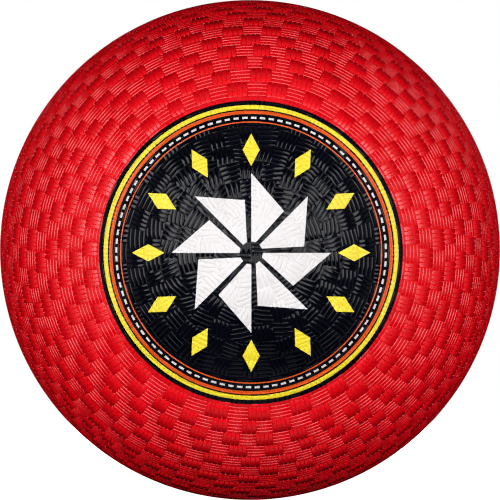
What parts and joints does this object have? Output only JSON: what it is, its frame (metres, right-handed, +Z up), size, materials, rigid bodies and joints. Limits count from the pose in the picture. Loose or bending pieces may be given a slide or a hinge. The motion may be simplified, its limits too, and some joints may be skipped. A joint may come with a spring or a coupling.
{
  "type": "playground ball",
  "caption": "Inflatable rubber playground ball with a moulded basket-weave cover, a round printed badge on the front and a needle valve at the back.",
  "frame": {"origin": "centre of the ball", "axes": "+Z up, the printed badge faces -Y, the needle valve opens along +Y"},
  "size_m": [0.216, 0.2159, 0.216],
  "materials": {
    "cover_rubber": "satin",
    "nylon_thread": "matte",
    "bladder_rubber": "matte",
    "valve_rubber": "matte",
    "ink_navy": "satin",
    "ink_yellow": "satin",
    "ink_orange": "satin",
    "ink_white": "satin"
  },
  "bodies": {
    "root": {"cover_front_half": "cover_rubber", "cover_rear_half": "cover_rubber", "nylon_winding": "nylon_thread", "bladder": "bladder_rubber", "valve_patch": "valve_rubber", "valve_housing": "valve_rubber", "valve_core": "valve_rubber", "print_navy": "ink_navy", "print_yellow": "ink_yellow", "print_orange": "ink_orange", "print_white": "ink_white"}
  },
  "joints": []
}
